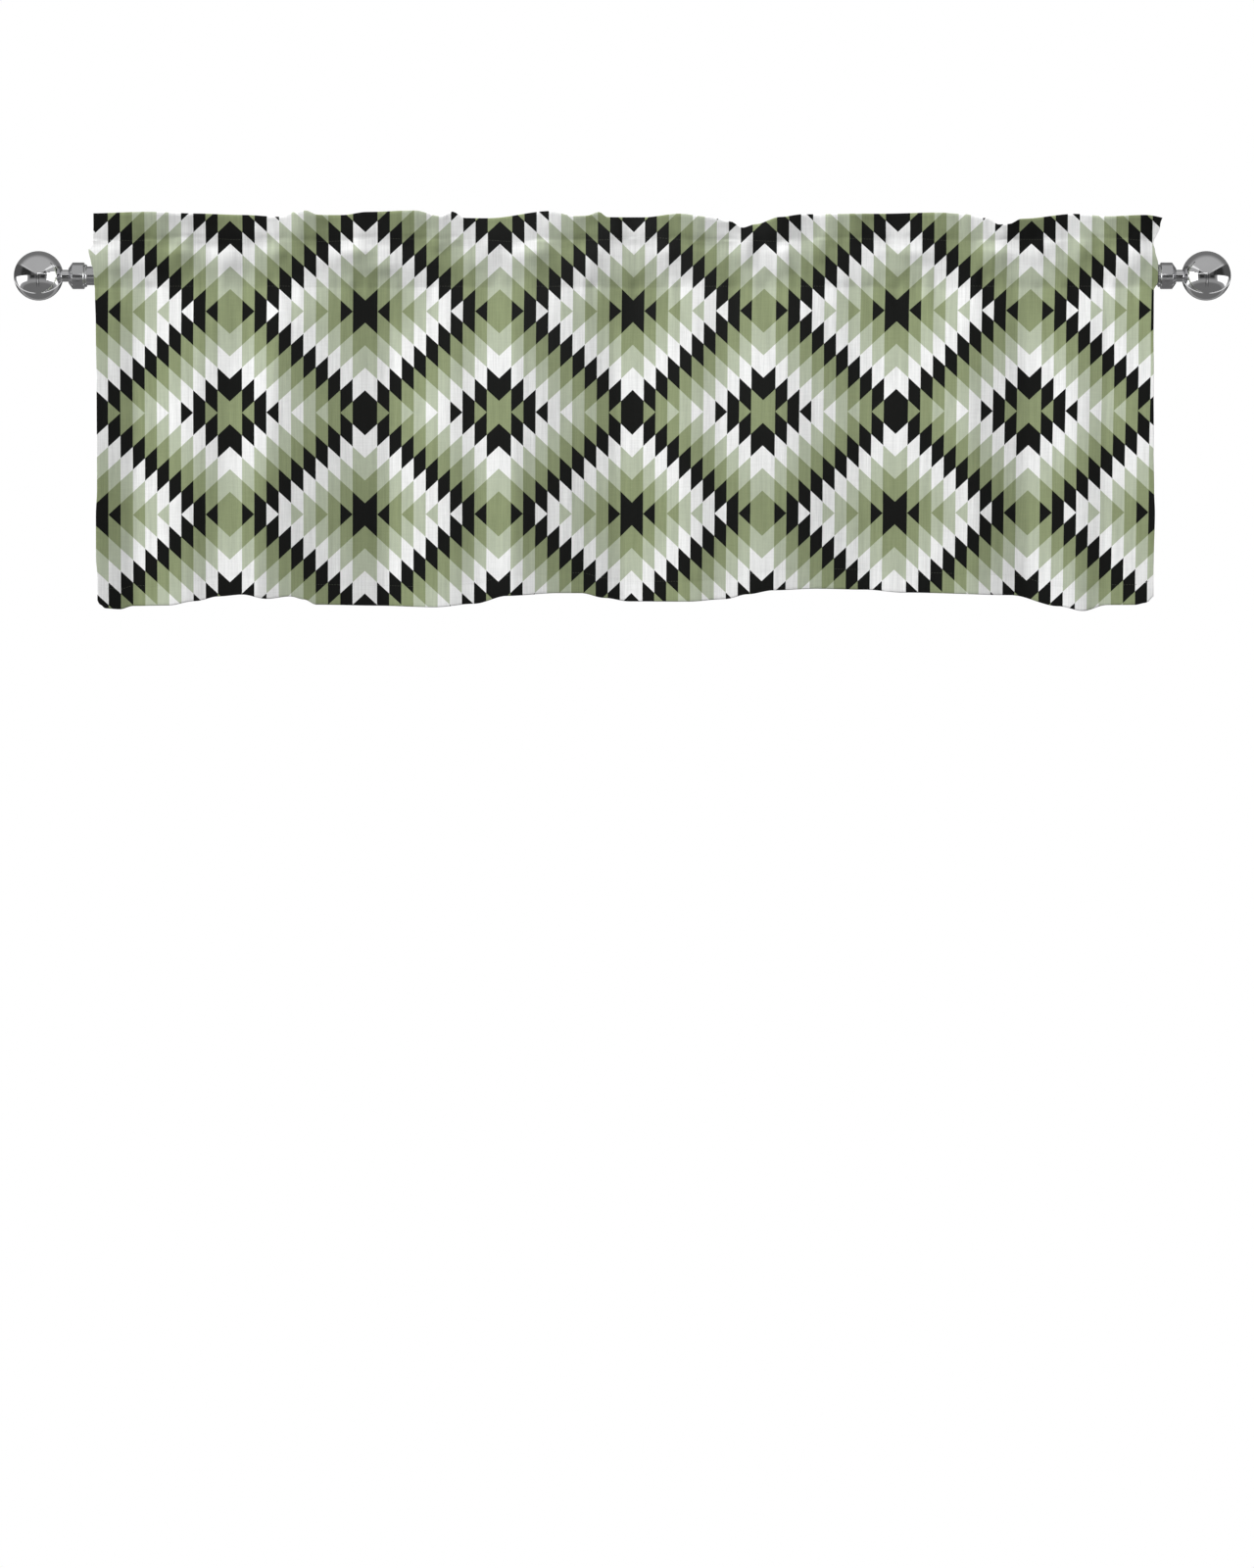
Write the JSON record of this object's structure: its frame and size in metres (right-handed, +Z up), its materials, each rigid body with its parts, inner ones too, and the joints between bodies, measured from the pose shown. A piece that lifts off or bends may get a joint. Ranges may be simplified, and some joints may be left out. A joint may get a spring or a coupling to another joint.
{
  "type": "window valance on a curtain rod",
  "caption": "Short rod-pocket window valance with a header ruffle and shallow hanging folds, on a round metal curtain rod with collars and ball finials",
  "frame": {"origin": "on the rod's axis, halfway between the two ball finials", "axes": "+X along the rod to the right as seen from the front, +Z up, the front of the cloth faces -Y"},
  "size_m": [1.4206, 0.0576, 0.4658],
  "materials": {
    "valance": "printed woven cloth in a stepped diamond repeat of two greens, white and black",
    "rod": "polished",
    "collar": "polished",
    "finial": "polished"
  },
  "bodies": {
    "root": {"valance": "valance", "rod": "rod", "collar_left": "collar", "collar_right": "collar", "finial_left": "finial", "finial_right": "finial"}
  },
  "joints": []
}
